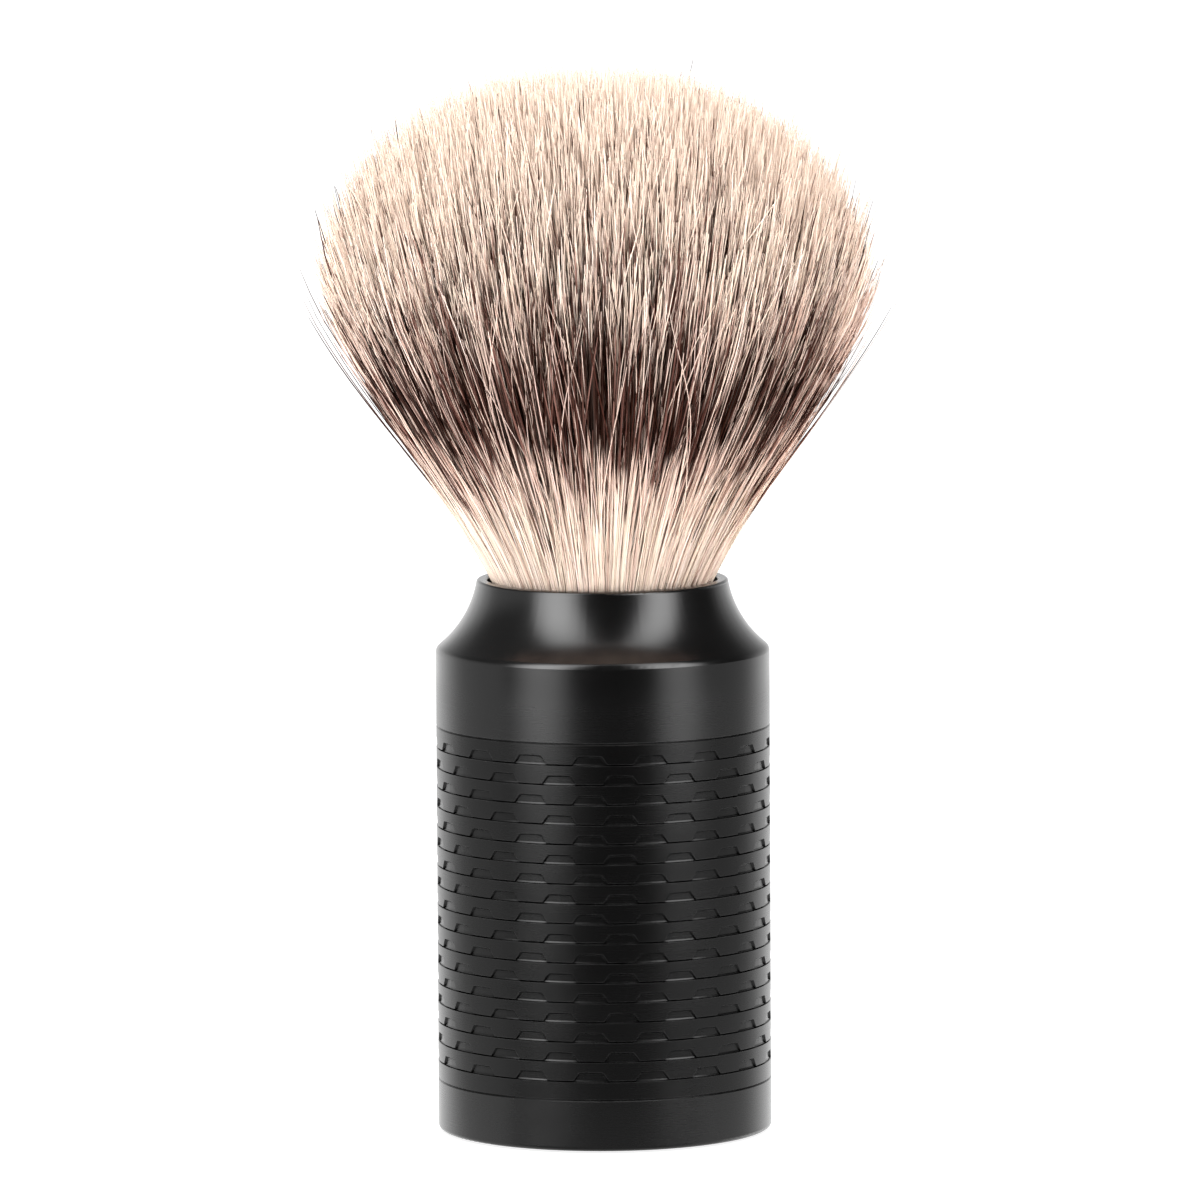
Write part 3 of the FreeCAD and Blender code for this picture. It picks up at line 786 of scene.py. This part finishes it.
def fibre_material():
    """Cream fibres dyed in a dark band, each with its own tint and its own ends of the band, with painted
    shade near the rim.
    """
    look = Look("fibres")

    def attribute(name):
        return look.node("ShaderNodeAttribute", attribute_name=name).outputs["Fac"]

    height = look.split(look.place)[2]
    fine = look.noise(900.0, 2.0)
    undyed = look.ramp(attribute("tint"), UNDYED_COLOURS)
    undyed = look.mix(look.ranged(fine, 0.3, 0.7, 0.0, 0.18), undyed, FLECK_COLOUR)
    near_tips = look.ranged(height, TIPS_FROM_Z, TIPS_ALL_Z, 0.0, TIPS_MOST, smooth=True)
    undyed = look.mix(near_tips, undyed, TIP_COLOUR)
    # Painted shade, darker towards the rim.
    undyed = look.mix(look.ranged(height, RIM_SHADE_ALL_Z, RIM_SHADE_TO_Z, RIM_SHADE_MOST, 0.0), undyed, RIM_SHADE_COLOUR)
    tinge_in = look.ranged(height, TINGE_FROM_Z, TINGE_ALL_Z, 0.0, TINGE_MOST)
    tinge_out = look.ranged(height, TINGE_FADES_FROM_Z, TINGE_TO_Z, 1.0, 0.0)
    undyed = look.mix(look.math("MULTIPLY", tinge_in, tinge_out), undyed, TINGE_COLOUR)
    dyed = look.ramp(attribute("tone"), DYED_COLOURS)
    low, high = attribute("band_low"), attribute("band_high")
    rise = look.ranged(height, low, look.math("ADD", low, BAND_FADE_IN), 0.0, 1.0, smooth=True)
    fall = look.ranged(height, high, look.math("ADD", high, BAND_FADE_OUT), 1.0, 0.0, smooth=True)
    share = look.math("MULTIPLY", look.math("MULTIPLY", rise, fall), attribute("band"))
    colour = look.mix(share, undyed, dyed)
    roughness = look.ranged(fine, 0.3, 0.7, 0.36, 0.50)
    return look.finish(colour, roughness, look.bump(fine, 0.15, 0.00003), Specular_IOR_Level=0.02)


def place_piece(mesh, material):
    mesh.materials.append(material)
    piece = bpy.data.objects.new(mesh.name, mesh)
    fibre_collection.objects.link(piece)
    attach(piece, "brush_head")
    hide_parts("bristle_knot")
    return piece


def make_layer(name, fibres, depth, rings, material, hubs, centres):
    """A piece of fibres, each from depth below its tip, or from its root, up to its tip. Each leans towards
    its nearest clump and takes that clump's shift of the dark band."""
    start = np.maximum(fibres.tip_z - depth, ROOT_Z)
    pull = fibres.rng.uniform(0.0, 0.5, fibres.count)
    paths = fibres.paths(start, rings)
    hub = nearest_hub(paths, centres)
    paths = clumped(paths, centres[hub, -1, :2], pull)
    fibres.band_low += hubs.low_shift[hub]
    fibres.band_high += hubs.high_shift[hub]
    values = {key: getattr(fibres, key) for key in FIBRE_VALUES}
    return place_piece(fibre_mesh(name, paths, fibres.thickness, values), material)


def make_strays(rng, count):
    """Outer fibres that end early and stand away from the rest."""
    strays = Fibres(rng, count, 0.97, 1.01)
    strays.tip_z = MM * rng.uniform(66, 88, count)
    strays.thickness = MM * rng.uniform(0.09, 0.16, count)
    strays.drift = MM * rng.normal(0, 3.2, count)
    strays.spread = MM * rng.uniform(0.3, 3.2, count)
    strays.band_low = MM * rng.uniform(58, 67, count)
    strays.band_high = MM * np.where(rng.uniform(0, 1, count) < 0.7, 110.0, 76.0)
    return strays


def make_crossers(rng, count):
    """Thin fibres that lie over the others and cross them, most of them without dye."""
    crossers = Fibres(rng, count, 0.93, 1.0)
    crossers.thickness = MM * rng.uniform(0.08, 0.13, count)
    crossers.drift = MM * rng.normal(0, 9.0, count)
    crossers.spread = MM * rng.uniform(0.0, 0.8, count)
    crossers.wave_size = MM * rng.uniform(0.2, 1.3, (2, count))
    crossers.wave_length = MM * rng.uniform(16, 36, (2, count))
    dyed = rng.uniform(0, 1, count) < 0.42
    crossers.band = np.where(dyed, 1.0, rng.uniform(0, 0.35, count))
    return crossers


def fibre_core(material, rng):
    """The packed fibres behind the ones that are made singly: a ridged solid, one ridge to a fibre, whose
    top draws in to a blunt point."""
    columns, rings = CORE_COLUMNS, CORE_RINGS
    share = CORE_SHARE + rng.normal(0, 0.006, columns)
    turn = 2 * math.pi * np.arange(columns) / columns
    along = np.linspace(0, 1, rings)[None, :]
    high = dome(OUTER_SHARE) - CORE_BELOW_TIPS
    z = ROOT_Z + (high - ROOT_Z) * along
    drawn_in = np.clip((along - CORE_DRAWS_IN_FROM) / (1 - CORE_DRAWS_IN_FROM), 0, 1) ** 2
    radius = share[:, None] * flare(z) * (1 - CORE_DRAWS_IN_BY * drawn_in)
    z = np.broadcast_to(z + CORE_RISES_BY * drawn_in, radius.shape)
    grown = grown_at(z)
    sway = 0.010 * np.sin(3 * turn)[:, None] * grown
    x = radius * np.cos(turn[:, None] + sway) - LEAN * grown ** 1.5
    y = radius * np.sin(turn[:, None] + sway)
    body = np.stack([x, y, z], axis=2).reshape(-1, 3)
    ends = np.array([[0, 0, ROOT_Z], [-LEAN, 0, high + CORE_POINT_ABOVE]])
    vertices = np.concatenate([body, ends])
    bottom, top = columns * rings, columns * rings + 1
    faces = []
    for column in range(columns):
        here, there = column * rings, (column + 1) % columns * rings
        faces += [
            (here + ring, there + ring, there + ring + 1, here + ring + 1)
            for ring in range(rings - 1)
        ]
        faces.append((there, here, bottom))
        faces.append((here + rings - 1, there + rings - 1, top))
    mesh = bpy.data.meshes.new("fibre_core")
    mesh.from_pydata(vertices.tolist(), [], faces)
    shades = Fibres(rng, columns, 0.8, 0.84)
    for key in FIBRE_VALUES:
        numbers = getattr(shades, key)
        add_numbers(mesh, key, np.append(np.repeat(numbers, rings), [numbers.mean(), numbers.mean()]))
    return place_piece(mesh, material)


def make_fibres():
    rng = np.random.default_rng(SEED)
    material = fibre_material()
    hubs = Fibres(rng, CLUMPS, 0.0, 1.0)
    centres = hubs.paths(np.full(hubs.count, CUP_TOP_Z), CLUMP_RINGS)
    hubs.low_shift = MM * rng.normal(0, 1.2, hubs.count)
    hubs.high_shift = MM * rng.normal(0, 4.0, hubs.count)

    def layer(name, fibres, depth, rings):
        make_layer(name, fibres, depth, rings, material, hubs, centres)

    for number in range(LAYERS):
        outer = Fibres(rng, OUTER_IN_A_LAYER, OUTER_SHARE, 1.0)
        further = rng.exponential(0.5, outer.count)
        outer.spread += MM * further * (rng.uniform(0, 1, outer.count) < STANDING_OUT_SHARE)
        layer(f"fibres_outer_{number + 1}", outer, TO_THE_ROOT, OUTER_RINGS)
    for number in range(LAYERS):
        inner = Fibres(rng, INNER_IN_A_LAYER, 0.0, OUTER_SHARE)
        layer(f"fibres_inner_{number + 1}", inner, INNER_DEPTH, INNER_RINGS)
    layer("fibres_crossing", make_crossers(rng, CROSSERS), TO_THE_ROOT, CROSSER_RINGS)
    layer("fibres_stray", make_strays(rng, STRAYS), TO_THE_ROOT, STRAY_RINGS)
    fibre_core(material, rng)


# ---------------------------------------------------------------- the scene

bpy.context.scene.view_settings.view_transform = "Standard"
fibre_collection = bpy.data.collections.new("fibres")
metal_collection = bpy.data.collections.new("metal")
for collection in (fibre_collection, metal_collection):
    bpy.context.scene.collection.children.link(collection)
make_camera()
make_lights()
make_world()
make_floor()
make_floor_mirrored()
finish_cad_nodes()
make_fibres()
